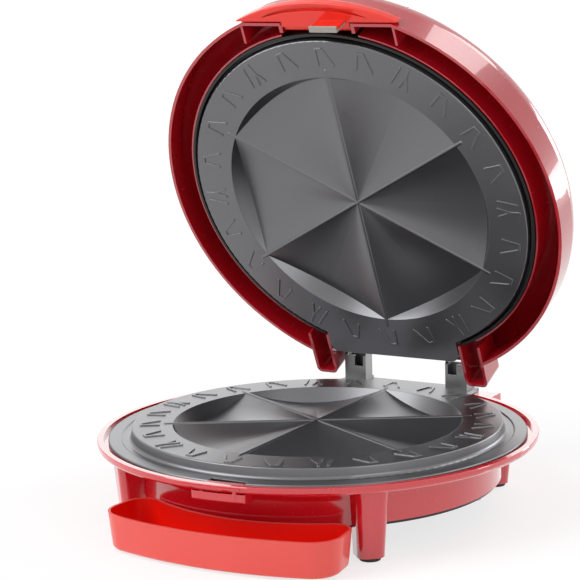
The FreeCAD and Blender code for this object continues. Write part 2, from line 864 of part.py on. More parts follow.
def make_bracket():
    """Formed steel bracket that holds one hinge pin in upright slots."""
    x0 = bracket_inner_x
    x1 = x0 + bracket_width
    front = hinge_y - web_front_gap
    back = hinge_y + bracket_depth
    top = hinge_z + hinge_float + hinge_pin_radius + bracket_top_margin
    shoulder = rim_height + web_height
    foot = box(x0, x1, front, back + bracket_foot_reach, bracket_z, bracket_z + bracket_sheet)
    web = box(x0, x1, front, front + bracket_sheet, bracket_z, shoulder)
    back_web = box(x0, x1, back - bracket_sheet, back, bracket_z, shoulder)
    corner = bracket_corner
    bend = corner * (1 - math.sqrt(0.5))
    cheek_points = [
        (front, bracket_z),
        (back, bracket_z),
        (back, top - corner),
        (back - bend, top - bend, back - corner, top),
        (front + corner + 1, top),
        (front + bend + 1, top - bend, front + 1, top - corner),
        (front + 1, shoulder + 2),
        (front, shoulder),
    ]
    cheeks = [
        side_prism(cheek_points, x0, x0 + bracket_sheet),
        side_prism(cheek_points, x1 - bracket_sheet, x1),
    ]
    slot_radius = hinge_pin_radius + running_gap
    slot = fused([
        rod(x0 - 1, hinge_y, hinge_z, slot_radius, bracket_width + 2, X_AXIS),
        rod(x0 - 1, hinge_y, hinge_z + hinge_float, slot_radius, bracket_width + 2, X_AXIS),
        box(x0 - 1, x1 + 1, hinge_y - slot_radius, hinge_y + slot_radius, hinge_z, hinge_z + hinge_float),
    ])
    window = box(x0 + bracket_sheet, x0 + bracket_sheet + window_width, front - 1, front + bracket_sheet + 1,
                 shoulder - window_height, shoulder + 1)
    bracket = fused([foot, web, back_web] + cheeks).cut(slot).cut(window)
    hole = screw_hole(x0 + bracket_width / 2, bracket_screw_y, bracket_z - 1, Z_AXIS, bracket_sheet + 2)
    return bracket.cut(hole)


def make_bracket_screws():
    seat = bracket_z + bracket_sheet
    length = bracket_sheet + ledge_thickness
    screws = [screw(x, bracket_screw_y, seat, -Z_AXIS, length) for x in bracket_screw_x()]
    return Part.makeCompound(screws)


def make_hinge_pins():
    """Headed pins, one through each bracket, with a groove for the clip."""
    start = bracket_inner_x - pin_end
    length = bracket_width + pin_end + seat_gap
    far = start + length + pin_head
    pin = rod(start, hinge_y, hinge_z, hinge_pin_radius, length, X_AXIS)
    cap = rod(start + length, hinge_y, hinge_z, hinge_pin_radius + pin_head_rim, pin_head, X_AXIS)
    cap = cap.makeFillet(pin_head_round, edges_where(cap, lambda e: e.CenterOfMass.x > far - 0.01))
    groove_start = start + clip_groove_start
    groove = rod(groove_start, hinge_y, hinge_z, hinge_pin_radius + 1, clip_groove_width, X_AXIS)
    groove = groove.cut(rod(groove_start, hinge_y, hinge_z, hinge_pin_radius - clip_groove_depth,
                            clip_groove_width, X_AXIS))
    one = fused([pin, cap]).cut(groove)
    return Part.makeCompound(both_sides(one))


def make_pin_clips():
    """Open retaining rings in the grooves of the hinge pins."""
    x = bracket_inner_x - pin_end + clip_groove_start + (clip_groove_width - clip_sheet) / 2
    clip = rod(x, hinge_y, hinge_z, hinge_pin_radius + clip_rim, clip_sheet, X_AXIS)
    clip = clip.cut(rod(x - 1, hinge_y, hinge_z, hinge_pin_radius - clip_groove_depth + 0.1, 3, X_AXIS))
    clip = clip.cut(box(x - 1, x + 2, hinge_y - clip_rim, hinge_y + clip_rim, hinge_z, hinge_z + beyond))
    return Part.makeCompound(both_sides(clip))


def lid_profile(offset):
    """Upper outline of the lid, moved inwards by offset, from the rim to the axis."""
    wall_top = lid_rim_z + lid_wall_height
    crown = (lid_shoulder_radius ** 2 + lid_shoulder_drop ** 2) / (2 * lid_shoulder_drop)
    crown_z = lid_top_z - crown
    crown_inner = crown - offset
    shoulder_r = lid_shoulder_radius - offset * 0.3
    middle_r = shoulder_r / 2
    return [
        (rim_radius - offset, lid_rim_z),
        (rim_radius + lid_wall_flare - offset, wall_top),
        (rim_radius - lid_bend_in - offset * 0.75, wall_top + lid_bend_rise - offset * 0.7,
         shoulder_r, crown_z + math.sqrt(crown_inner ** 2 - shoulder_r ** 2)),
        (middle_r, crown_z + math.sqrt(crown_inner ** 2 - middle_r ** 2), 0, crown_z + crown_inner),
    ]


def lid_volume(offset, below):
    points = lid_profile(offset)
    start = [(0, lid_rim_z - below)]
    if below > 0:
        start.append((points[0][0], lid_rim_z - below))
    return revolved(start + points)


def lid_ear():
    """Rear corner box of the lid beside the hinge, open below."""
    x0 = notch_half_width
    x1 = x0 + ear_width
    z1 = lid_rim_z + ear_height
    outer = box(x0, x1, ear_front_y, ear_back_y, lid_rim_z, z1)
    outer = outer.makeFillet(ear_round, edges_where(outer, lambda e: e.CenterOfMass.y > ear_back_y - 1
                                              and e.CenterOfMass.z > lid_rim_z + 1))
    return outer


def ear_hollow():
    x0 = notch_half_width + lid_shell
    x1 = notch_half_width + ear_width - lid_shell
    hollow = box(x0, x1, ear_front_y - 5, ear_back_y - lid_shell,
                 lid_rim_z - 1, lid_rim_z + ear_height - lid_shell)
    return hollow.makeFillet(ear_hollow_round, edges_where(
        hollow, lambda e: e.CenterOfMass.y > ear_back_y - lid_shell - 1 and e.CenterOfMass.z > lid_rim_z))


def dimples():
    """Rows of small round hollows over the handle."""
    wall_top = lid_rim_z + lid_wall_height
    shapes = []
    for row in range(dimple_rows):
        rise = 7.0 + row * dimple_row_step
        radius = rim_radius - row * row * 0.55 - row * 0.9
        z = wall_top - 1.0 + rise - row * 0.6
        for index in range(dimples_per_row):
            angle = -90 + (index - (dimples_per_row - 1) / 2.0) * dimple_step_angle
            x, y = on_circle(radius + dimple_ball - dimple_depth, angle)
            shapes.append(Part.makeSphere(dimple_ball, Vec(x, y, z)))
    return shapes


def make_lid_housing():
    """Domed shell, with its two rear corners as solids that meet it on flat faces."""
    outer = lid_volume(0, 0)
    inner = lid_volume(lid_shell, 1)
    shell = outer.cut(inner)
    bay = box(-rim_radius, rim_radius, -rim_radius - 5, -bay_chord_y, lid_rim_z - 2, bay_roof_z)
    shell = shell.cut(bay)
    roof = box(-rim_radius, rim_radius, -rim_radius - 5, -bay_chord_y + lid_shell,
               bay_roof_z, bay_roof_z + lid_shell)
    roof = roof.common(lid_volume(lid_shell / 2, 0))
    chord_wall = box(-rim_radius, rim_radius, -bay_chord_y, -bay_chord_y + lid_shell,
                     lid_rim_z, bay_roof_z + lid_shell)
    chord_wall = chord_wall.common(lid_volume(lid_shell / 2, 0))
    latch_window = box(-latch_opening_half, latch_opening_half, -bay_chord_y - 1,
                       -bay_chord_y + lid_shell + 1, lid_rim_z - 1, bay_roof_z - 0.5)
    chord_wall = chord_wall.cut(latch_window)
    lug_points = [
        (-bay_chord_y, lid_rim_z + 1),
        (-latch_pivot_y + lug_reach, lid_rim_z + 1),
        (-latch_pivot_y + lug_reach, bay_roof_z + 1),
        (-bay_chord_y, bay_roof_z + 1),
    ]
    lug_x = latch_opening_half - lug_overlap
    lug = side_prism(lug_points, lug_x, lug_x + lug_sheet)
    rib = box(bay_rib_x, bay_rib_x + bay_rib_sheet, -bay_chord_y + 1, -bay_rib_back_y,
              lid_rim_z + 0.5, lid_rim_z + inner_rib_height)
    inner_rib = ring(inner_rib_radius, inner_rib_radius + inner_rib_width, lid_rim_z + 3, lid_top_z)
    inner_rib = inner_rib.common(lid_volume(lid_shell / 2, 0))
    rib_gap_x = latch_opening_half + 3
    inner_rib = inner_rib.cut(box(-rib_gap_x, rib_gap_x, -rim_radius, 0, 0, lid_top_z))
    boss = rod(lid_boss_ring, 0, shelf_z + shelf_sheet + seat_gap, boss_radius, beyond)
    bosses = [item.common(lid_volume(lid_shell / 2, 0)) for item in around(boss, lid_boss_angles)]
    ears = both_sides(lid_ear())
    side_wall = box(notch_half_width, notch_half_width + lid_shell, notch_front_y - lid_shell,
                    ear_back_y - 5, lid_rim_z, lid_top_z).common(lid_volume(0, 0))
    back_wall = box(-notch_half_width - 1, notch_half_width + 1, notch_front_y - lid_shell, notch_front_y,
                    hinge_z + back_wall_rise, lid_top_z).common(lid_volume(0, 0))
    body = fused([shell, roof, chord_wall, inner_rib, back_wall] + both_sides(lug) + both_sides(rib)
                 + bosses + ears + both_sides(side_wall))
    notch = box(-notch_half_width, notch_half_width, notch_front_y, beyond, 0, beyond)
    under_hinge = box(-notch_half_width, notch_half_width, ear_front_y - 5, notch_front_y + 1,
                      0, hinge_z + back_wall_rise)
    body = body.cut(notch).cut(under_hinge)
    for hollow in both_sides(ear_hollow()):
        body = body.cut(hollow)
    pin_reach = latch_opening_half + latch_pin_end
    body = body.cut(rod(-pin_reach, -latch_pivot_y, latch_pivot_z, latch_pin_radius, 2 * pin_reach, X_AXIS))
    for angle in lid_boss_angles:
        x, y = on_circle(lid_boss_ring, angle)
        body = body.cut(screw_hole(x, y, shelf_z, Z_AXIS, ring_screw_length + 2))
    body = body.cut(Part.makeCompound(dimples()))
    corner = box(notch_half_width, beyond, rear_corner_y, beyond, 0, beyond)
    return Part.makeCompound([body.cut(Part.makeCompound(both_sides(corner)))]
                             + [body.common(item) for item in both_sides(corner)])


def make_inner_ring():
    """Black ring round the upper plate, with a shelf that carries the plate and reflector."""
    inner = plate_radius + shield_gap
    outer = inner + shield_wall
    low = lid_rim_z + shield_rim_gap
    points = [
        (inner, low),
        (outer, low),
        (outer, shelf_z + shelf_sheet),
        (shield_inner_radius, shelf_z + shelf_sheet),
        (shield_inner_radius, shelf_z),
        (inner, shelf_z),
    ]
    body = revolved(points)
    side = notch_half_width + lid_shell + 2 * fit_gap
    body = body.cut(box(-side, side, arm_front_y - 13, rim_radius, 0, shelf_z - 0.5))
    body = body.cut(box(-side, side, arm_front_y - 4, rim_radius, 0, lid_top_z))
    for angle in (90 + element_end_angle, 90 - element_end_angle):
        x, y = on_circle(element_ring_radius, angle)
        body = body.cut(rod(x, y, shelf_z - 2, insulator_radius + insulator_clearance, 10))
    for angle in lid_boss_angles:
        x, y = on_circle(lid_boss_ring, angle)
        body = body.cut(screw_hole(x, y, shelf_z - 1, Z_AXIS, 4.0))
    for angle in post_angles:
        x, y = on_circle(post_ring_radius, angle)
        body = body.cut(screw_hole(x, y, shelf_z - 1, Z_AXIS, 4.0))
    return body


def make_shield_screws():
    one = screw(lid_boss_ring, 0, shelf_z, Z_AXIS, ring_screw_length)
    return Part.makeCompound(around(one, lid_boss_angles))


def make_posts(z0, z1, screw_from, screw_axis):
    post = rod(post_ring_radius, 0, z0, post_radius, z1 - z0)
    post = post.cut(screw_hole(post_ring_radius, 0, screw_from, screw_axis, post_hole_depth))
    return Part.makeCompound(around(post, post_angles))


def make_element(z, leg_direction):
    """Sheathed tubular element: a nearly closed loop with two upright ends at the back."""
    start = 90 + element_end_angle
    sweep = 360 - 2 * element_end_angle
    loop = Part.makeTorus(element_ring_radius, element_radius, Vec(0, 0, z), Z_AXIS, 0, 360, sweep)
    loop = turned(loop, start)
    parts = [loop]
    for angle in (start, 90 - element_end_angle):
        x, y = on_circle(element_ring_radius, angle)
        parts.append(Part.makeSphere(element_radius, Vec(x, y, z)))
        parts.append(rod(x, y, z, element_radius, element_leg, leg_direction))
    return fused(parts)


def make_insulators(z, direction):
    """Ceramic sleeves on the ends of an element, each with its blade terminal."""
    parts = []
    for angle in (90 + element_end_angle, 90 - element_end_angle):
        x, y = on_circle(element_ring_radius, angle)
        start = Vec(x, y, z) + direction * element_leg
        sleeve = Part.makeCylinder(insulator_radius, insulator_height, start, direction)
        far = start + direction * insulator_height
        low = min(far.z, (far + direction * blade_height).z)
        blade = box(x - blade_width / 2, x + blade_width / 2, y - blade_sheet / 2, y + blade_sheet / 2,
                    low, low + blade_height)
        parts.append(fused([sleeve, blade]))
    return Part.makeCompound(parts)


def make_lower_reflector():
    z = lower_reflector_z
    dish = revolved([
        (reflector_hole, z),
        (lower_reflector_radius - 6, z),
        (lower_reflector_radius, z),
        (lower_reflector_radius, z - reflector_sheet),
        (reflector_hole, z - reflector_sheet),
    ])
    for angle in post_angles:
        x, y = on_circle(post_ring_radius, angle)
        dish = dish.cut(screw_hole(x, y, z - 2, Z_AXIS, 4.0))
    for angle in (90 + element_end_angle, 90 - element_end_angle):
        x, y = on_circle(element_ring_radius, angle)
        dish = dish.cut(rod(x, y, z - 5, insulator_radius + insulator_clearance, 10))
    return dish


def make_upper_reflector():
    z = shelf_z + shelf_sheet
    rise = 5.0
    dish = revolved([
        (reflector_hole, z + rise),
        (shield_inner_radius - 4, z + rise),
        (shield_inner_radius + 1, z),
        (upper_reflector_radius, z),
        (upper_reflector_radius, z + reflector_sheet),
        (shield_inner_radius + 1.4, z + reflector_sheet),
        (shield_inner_radius - 3.6, z + rise + reflector_sheet),
        (reflector_hole, z + rise + reflector_sheet),
    ])
    for angle in (90 + element_end_angle, 90 - element_end_angle):
        x, y = on_circle(element_ring_radius, -angle)
        dish = dish.cut(rod(x, -y, z - 5, insulator_radius + insulator_clearance, 20))
    return dish


def make_reflector_screws():
    z = lower_reflector_z - reflector_sheet
    one = screw(post_ring_radius, 0, z, Z_AXIS, reflector_screw_length)
    return Part.makeCompound(around(one, post_angles))


def make_plate_screws():
    one = screw(post_ring_radius, 0, shelf_z + shelf_sheet, -Z_AXIS, plate_screw_length)
    return Part.makeCompound(around(one, post_angles))


def make_thermostat(z, direction):
    body = Part.makeCylinder(thermostat_radius, thermostat_height, Vec(0, 0, z), direction)
    half = thermostat_blade_width / 2
    far = Vec(0, 0, z) + direction * thermostat_height
    low = min(far.z, (far + direction * blade_height).z)
    blade = box(thermostat_blade_x - blade_sheet / 2, thermostat_blade_x + blade_sheet / 2, -half, half,
                low, low + blade_height)
    return fused([body] + both_sides(blade))


def make_thermal_fuse():
    z = lower_reflector_z + fuse_radius + seat_gap
    body = rod(-fuse_half_length, fuse_y, z, fuse_radius, 2 * fuse_half_length, X_AXIS)
    lead = rod(-fuse_lead_half_length, fuse_y, z, fuse_lead_radius, 2 * fuse_lead_half_length, X_AXIS)
    return fused([body, lead])


def make_terminal_block():
    z = wall_bottom_height
    block = box(-block_half_width, block_half_width, block_front_y, block_front_y + block_depth,
                z + seat_gap, z + block_height)
    for x in (-block_pitch, 0, block_pitch):
        block = block.cut(rod(x, block_front_y + block_depth / 2, z + block_floor, block_bore, beyond))
    return block


def make_cord_gland():
    """Grommet in the back wall where the power cord enters."""
    body = rod(0, wall_radius - gland_inside, gland_height, gland_radius, gland_inside + 7, Y_AXIS)
    flange = rod(0, wall_radius + seat_gap, gland_height, gland_flange_radius, gland_flange, Y_AXIS)
    inner_flange = rod(0, wall_radius - housing_wall - 3.5, gland_height, gland_flange_radius, 2.5, Y_AXIS)
    nose_start = Vec(0, wall_radius + gland_flange, gland_height)
    nose = Part.makeCone(gland_radius, gland_bore + 2.2, gland_nose, nose_start, Y_AXIS)
    bore = rod(0, 0, gland_height, gland_bore, beyond, Y_AXIS)
    return fused([body, flange, inner_flange, nose]).cut(bore)


def crescent_circle(reach, half_width, tip_y):
    """Centre and radius of the circle through the two tips and the middle of a crescent's edge."""
    sagitta = reach - tip_y
    radius = (half_width ** 2 + sagitta ** 2) / (2 * sagitta)
    return radius - reach, radius


def handle_scoop(z0):
    """Crescent hollow under the front of the grip, for the fingers."""
    tip_y = bay_chord_y + scoop_tip_out
    front = handle_reach - scoop_front_lip
    front_y, front_radius = crescent_circle(front, scoop_half_width, tip_y)
    back_y, back_radius = crescent_circle(front - scoop_width, scoop_half_width, tip_y)
    hollow = rod(0, front_y, z0 - 1, front_radius, scoop_depth + 1)
    hollow = hollow.cut(rod(0, back_y, z0 - 2, back_radius, scoop_depth + 3))
    return hollow.common(box(-rim_radius, rim_radius, -handle_reach, -tip_y, z0 - 1, z0 + scoop_depth))


def make_latch_handle():
    """Crescent grip in front of the lid, with its barrel behind, in the closed position."""
    centre_y, radius = crescent_circle(handle_reach, handle_half_width, bay_chord_y)
    z0 = lid_rim_z + 0.5
    z1 = z0 + handle_thickness
    front_y = -bay_chord_y - handle_gap
    disc = rod(0, centre_y, z0, radius, handle_thickness)
    crescent = disc.common(box(-beyond, beyond, -beyond, front_y, z0, z1))
    crescent = crescent.makeFillet(4.0, edges_where(crescent, lambda e: e.CenterOfMass.z > z1 - 0.01
                                                    and e.CenterOfMass.y < -bay_chord_y - 3))
    crescent = crescent.makeFillet(1.2, edges_where(crescent, lambda e: e.CenterOfMass.z < z0 + 0.01
                                                    and e.CenterOfMass.y < -bay_chord_y - 3))
    crescent = crescent.cut(handle_scoop(z0))
    barrel_half = latch_opening_half - latch_side_gap
    tongue_low = latch_pivot_z - latch_barrel_radius
    tongue_high = min(z1, latch_pivot_z + latch_barrel_radius)
    tongue = box(-barrel_half, barrel_half, front_y - 5, -latch_pivot_y, tongue_low, tongue_high)
    apron = box(-barrel_half, barrel_half, front_y - 2, -tongue_back_y, z0, tongue_low + 1)
    barrel = rod(-barrel_half, -latch_pivot_y, latch_pivot_z, latch_barrel_radius, 2 * barrel_half, X_AXIS)
    stem_low = rim_height + closed_gap
    stem = box(catch_x - hook_half_width, catch_x + hook_half_width, -hook_front_y,
               -hook_front_y + hook_front_sheet, stem_low, z0 + 2)
    body = fused([crescent, tongue, apron, barrel, stem])
    body = body.cut(rod(-beyond, -latch_pivot_y, latch_pivot_z, latch_pin_radius + running_gap,
                        2 * beyond, X_AXIS))
    half_slot = spring_turns * spring_pitch / 2 + 1.5
    slot = box(-half_slot, half_slot, -latch_pivot_y - spring_leg - 3.5, -latch_pivot_y + 10,
               tongue_low - 1, z1 + 5)
    behind_grip = box(-beyond, beyond, -latch_pivot_y - latch_barrel_radius - 0.5, 0, 0, beyond)
    body = body.cut(slot.common(behind_grip))
    return body.cut(hook_foot())


def hook_foot():
    """Blade of the hook, inside the tongue of the handle."""
    return box(catch_x - hook_half_width, catch_x + hook_half_width, -hook_front_y + hook_front_sheet,
               -hook_back_y, hook_low + hook_nose_height, lid_rim_z + hook_foot_rise)


def make_latch_hook():
    """Bent strip: the blade stands in the tongue, the nose below reaches under the catch's lip."""
    nose_points = [
        (-hook_back_y, hook_low),
        (-hook_nose_y + 0.4, hook_low),
        (-hook_nose_y, hook_low + 0.4),
        (-hook_nose_y, hook_low + hook_nose_height),
        (-hook_back_y, hook_low + hook_nose_height),
    ]
    nose = side_prism(nose_points, catch_x - hook_half_width, catch_x + hook_half_width)
    return fused([hook_foot(), nose])


def make_latch_pin():
    half = latch_opening_half + latch_pin_end
    return rod(-half, -latch_pivot_y, latch_pivot_z, latch_pin_radius, 2 * half, X_AXIS)


def spring_point(turn):
    """Point of the coil after this many turns, wound round the latch pin."""
    angle = 2 * math.pi * turn
    x = (turn - spring_turns / 2.0) * spring_pitch
    return Vec(x, -latch_pivot_y - spring_mean_radius * math.sin(angle),
               latch_pivot_z + spring_mean_radius * math.cos(angle))


def spring_route():
    """Quarter-turn arcs of the coil, with a straight leg at each end."""
    quarters = int(spring_turns * 4)
    edges = []
    first = spring_point(0)
    last = spring_point(spring_turns)
    edges.append(Part.makeLine(first + Vec(0, spring_leg, 0), first))
    for index in range(quarters):
        start = spring_point(index / 4.0)
        middle = spring_point((index + 0.5) / 4.0)
        end = spring_point((index + 1) / 4.0)
        edges.append(Part.Arc(start, middle, end).toShape())
    edges.append(Part.makeLine(last, last + Vec(0, -spring_leg, 0)))
    return edges


def make_latch_spring():
    edges = spring_route()
    path = Part.Wire(edges)
    start = edges[0].Vertexes[0].Point
    section = Part.Wire([Part.makeCircle(spring_wire_radius, start, Y_AXIS)])
    coil = path.makePipeShell([section], True, False)
    print("spring gap between turns", round(spring_pitch - 2 * spring_wire_radius, 3))
    return coil


def tray_outline(inset, z):
    """Curved outline of the drip tray, drawn inwards by inset."""
    front_r = tray_front_radius - inset
    back_r = tray_back_radius + inset
    corner_r = tray_front_corner - inset
    bump_r = tray_back_corner - inset
    front_c = (0.0, tray_front_radius - tray_front_y)
    corner_x = tray_half_length - tray_front_corner
    reach = tray_front_radius - tray_front_corner
    corner_c = (corner_x, front_c[1] - math.sqrt(reach ** 2 - corner_x ** 2))
    bump_x = tray_back_corner_x
    bump_reach = tray_back_radius + tray_back_corner
    bump_c = (bump_x, -math.sqrt(bump_reach ** 2 - bump_x ** 2))
    span = (bump_c[0] - corner_c[0], bump_c[1] - corner_c[1])
    length = math.hypot(*span)
    unit = (span[0] / length, span[1] / length)
    along = (corner_r - bump_r) / length
    across = math.sqrt(1 - along ** 2)
    normal = (unit[0] * along + unit[1] * across, unit[1] * along - unit[0] * across)
    to_corner = (corner_c[0] - front_c[0], corner_c[1] - front_c[1])
    to_corner_length = math.hypot(*to_corner)
    front_end = (front_c[0] + to_corner[0] / to_corner_length * front_r,
                 front_c[1] + to_corner[1] / to_corner_length * front_r)
    side_low = (corner_c[0] + normal[0] * corner_r, corner_c[1] + normal[1] * corner_r)
    side_high = (bump_c[0] + normal[0] * bump_r, bump_c[1] + normal[1] * bump_r)
    bump_length = math.hypot(*bump_c)
    back_end = (bump_c[0] / bump_length * back_r, bump_c[1] / bump_length * back_r)
    corner_mid = arc_middle(corner_c, front_end, side_low)
    towards_back = (back_end[0] - bump_c[0], back_end[1] - bump_c[1])
    angle_a = math.atan2(normal[1], normal[0])
    angle_b = math.atan2(towards_back[1], towards_back[0])
    if angle_b < angle_a:
        angle_b += 2 * math.pi
    middle_angle = (angle_a + angle_b) / 2
    bump_mid = (bump_c[0] + bump_r * math.cos(middle_angle), bump_c[1] + bump_r * math.sin(middle_angle))
    right = [corner_mid + side_low, side_high, bump_mid + back_end]
    points = [(-front_end[0], front_end[1])]
    points.append((0.0, front_c[1] - front_r) + front_end)
    points += right
    points.append((0.0, -back_r, -back_end[0], back_end[1]))
    points.append((-bump_mid[0], bump_mid[1], -side_high[0], side_high[1]))
    points.append((-side_low[0], side_low[1]))
    points.append((-corner_mid[0], corner_mid[1], -front_end[0], front_end[1]))
    return outline_wire(points, lambda x, y: Vec(x, y, z))


def make_drip_tray():
    outer = Part.makeLoft([tray_outline(tray_draft, tray_bottom), tray_outline(0, tray_top)], True, True)
    outer = outer.makeFillet(tray_bottom_round,
                             edges_where(outer, lambda e: abs(e.CenterOfMass.z - tray_bottom) < 0.01))
    floor = tray_bottom + tray_wall
    slope = tray_draft / (tray_top - tray_bottom)
    low_inset = tray_draft + tray_wall - slope * tray_wall
    top = tray_top + 1
    inner = Part.makeLoft([tray_outline(low_inset, floor), tray_outline(tray_wall - slope, top)], True, True)
    inner = inner.makeFillet(tray_bottom_round - 1,
                             edges_where(inner, lambda e: abs(e.CenterOfMass.z - floor) < 0.01))
    tongue_high = cover_bottom - rail_gap
    start = -tray_back_radius - 3
    tongue = box(-tongue_half_width, tongue_half_width, start, start + tongue_length,
                 tongue_high - tongue_thickness, tongue_high)
    tray = fused([outer, tongue]).cut(inner)
    tray.translate(Vec(tray_x, 0, 0))
    return tray


def opened(shape):
    """The lid's pieces, turned from closed to the open position."""
    copy = shape.copy()
    copy.rotate(Vec(0, hinge_y, hinge_z), X_AXIS, -rest_open_angle)
    return copy


def half_saddle(z, side):
    """One sheet clamp over the element, open towards the plate."""
    reach = element_radius + seat_gap
    sheet = clamp_sheet
    ring_r = element_ring_radius
    centre = Vec(0, 0, z)
    cover_ring = Part.makeTorus(ring_r, reach + sheet, centre, Z_AXIS, 0, 360, clamp_angle)
    cover_ring = cover_ring.cut(Part.makeTorus(ring_r, reach, centre, Z_AXIS, 0, 360, clamp_angle))
    plate_side = z - side * element_radius
    low = min(z, z + side * beyond)
    away_from_plate = box(0, beyond, -1, beyond, low, low + beyond)
    arch = cover_ring.common(away_from_plate)
    feet = []
    for inner_r in (ring_r - reach - sheet - clamp_foot_width, ring_r + reach):
        low_foot = min(plate_side, plate_side + side * sheet)
        strip = ring(inner_r, inner_r + sheet + clamp_foot_width, low_foot, low_foot + sheet)
        wall_r = ring_r - reach - sheet if inner_r < ring_r else ring_r + reach
        wall = ring(wall_r, wall_r + sheet, min(plate_side, z), max(plate_side, z))
        sector = Part.makeCylinder(beyond, beyond, Vec(0, 0, 0), Z_AXIS, clamp_angle)
        feet.append(strip.common(sector))
        feet.append(wall.common(sector))
    return fused([arch] + feet)


def make_clamps(z, side):
    return Part.makeCompound(around(half_saddle(z, side), clamp_angles))


lower_element_z = lower_back_z - element_radius - seat_gap
upper_element_z = upper_back_z + element_radius + seat_gap

fixed_pieces = {
    "base_housing": make_base_housing,
    "base_bottom_cover": make_bottom_cover,
    "bottom_cover_screws": make_cover_screws,
    "rubber_feet": make_feet,
    "front_bar": make_front_bar,
    "lower_plate": make_lower_plate,
    "lower_heating_element": lambda: make_element(lower_element_z, -Z_AXIS),
    "lower_element_clamps": lambda: make_clamps(lower_element_z, -1),
    "lower_element_insulators": lambda: make_insulators(lower_element_z, -Z_AXIS),
    "lower_plate_posts": lambda: make_posts(lower_reflector_z, lower_back_z, lower_reflector_z - 1, Z_AXIS),
    "lower_reflector": make_lower_reflector,
    "reflector_screws": make_reflector_screws,
    "lower_thermostat": lambda: make_thermostat(lower_back_z - plate_hub_depth - seat_gap, -Z_AXIS),
    "thermal_fuse": make_thermal_fuse,
    "terminal_block": make_terminal_block,
    "cord_gland": make_cord_gland,
    "hinge_bracket_right": make_bracket,
    "hinge_bracket_left": lambda: mirrored(make_bracket()),
    "hinge_bracket_screws": make_bracket_screws,
    "hinge_pins": make_hinge_pins,
    "hinge_pin_clips": make_pin_clips,
    "drip_tray": make_drip_tray,
}

lid_pieces = {
    "lid_housing": make_lid_housing,
    "lid_inner_ring": make_inner_ring,
    "inner_ring_screws": make_shield_screws,
    "upper_plate": make_upper_plate,
    "hinge_arms": make_hinge_arms,
    "hinge_arm_screws": make_arm_screws,
    "upper_plate_posts": lambda: make_posts(upper_back_z, shelf_z, shelf_z + 1, -Z_AXIS),
    "upper_plate_screws": make_plate_screws,
    "upper_heating_element": lambda: make_element(upper_element_z, Z_AXIS),
    "upper_element_clamps": lambda: make_clamps(upper_element_z, 1),
    "upper_element_insulators": lambda: make_insulators(upper_element_z, Z_AXIS),
    "upper_reflector": make_upper_reflector,
    "upper_thermostat": lambda: make_thermostat(upper_back_z + plate_hub_depth + seat_gap, Z_AXIS),
    "latch_handle": make_latch_handle,
    "latch_hook": make_latch_hook,
    "latch_pin": make_latch_pin,
    "latch_spring": make_latch_spring,
}


def export(name, shape):
    solids = shape.Solids
    good = shape.isValid() and all(solid.isClosed() for solid in solids)
    print(name, len(solids), "solids", round(shape.Volume / 1000, 2), "cm3", "ok" if good else "BAD")
    placed = shape.copy()
    placed.translate(Vec(0, base_centre_y, 0))
    placed.exportStep("parts/" + name + ".step")


def main():
    os.makedirs("parts", exist_ok=True)
    for name, make in fixed_pieces.items():
        export(name, make())
    for name, make in lid_pieces.items():
        export(name, opened(make()))


main()
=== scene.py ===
# %% [markdown]
# # A round quesadilla maker, standing open
# This file dresses the finished solid model of a countertop quesadilla maker for a photograph.
# The solid model comes in as a fixed frame: its pieces are never moved, they only get
# finishes. The lesson is about plastics, coated metal and studio light.

# %% Load the solid model
import math

import bpy
from mathutils import Matrix, Vector


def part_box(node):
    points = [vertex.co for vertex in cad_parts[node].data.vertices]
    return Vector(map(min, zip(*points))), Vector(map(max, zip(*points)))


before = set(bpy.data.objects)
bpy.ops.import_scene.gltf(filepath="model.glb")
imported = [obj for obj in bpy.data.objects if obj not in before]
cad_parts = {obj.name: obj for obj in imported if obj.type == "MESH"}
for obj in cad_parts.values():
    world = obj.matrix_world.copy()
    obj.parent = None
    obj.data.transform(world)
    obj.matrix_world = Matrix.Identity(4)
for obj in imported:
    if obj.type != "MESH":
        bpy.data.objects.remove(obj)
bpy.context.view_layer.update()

# %% [markdown]
# ## The camera
# A product is photographed from far away with a long lens, so that circles stay true. The
# camera stands a little to the right of the front and looks slightly down. It's placed by
# angles round the machine and by a distance, because those are easy to read and to change.

# %% Place the camera
camera_azimuth = math.radians(29.92)
camera_elevation = math.radians(10.41)
camera_roll = math.radians(-1.49)
camera_distance = 1.7154
aim_right = -0.01917
aim_up = 0.1112
base_centre = Vector((0, 0.006, 0.062))

back = Vector((math.sin(camera_azimuth) * math.cos(camera_elevation),
               -math.cos(camera_azimuth) * math.cos(camera_elevation),
               math.sin(camera_elevation)))
level_right = Vector((math.cos(camera_azimuth), math.sin(camera_azimuth), 0))
level_up = back.cross(level_right)
right = level_right * math.cos(camera_roll) + level_up * math.sin(camera_roll)
up = level_up * math.cos(camera_roll) - level_right * math.sin(camera_roll)

camera_data = bpy.data.cameras.new("camera")
camera_data.lens = 133.9
camera_data.sensor_width = 36
camera_data.clip_start = 0.05
camera_data.clip_end = 100
camera = bpy.data.objects.new("camera", camera_data)
camera.rotation_mode = "QUATERNION"
camera.location = base_centre + level_right * aim_right + level_up * aim_up + back * camera_distance
camera.rotation_quaternion = Matrix((right, up, back)).transposed().to_quaternion()
bpy.context.scene.collection.objects.link(camera)
bpy.context.scene.camera = camera
print("camera at", [round(c, 3) for c in camera.location])

# %% [markdown]
# ## Sums on sockets
# A finish is a small sum: a noise, less a mask, times a strength. Blender writes each step as
# a node. This class wraps a socket and gives it the usual signs, so that a finish can be
# written as one line of Python and Blender still gets its nodes.

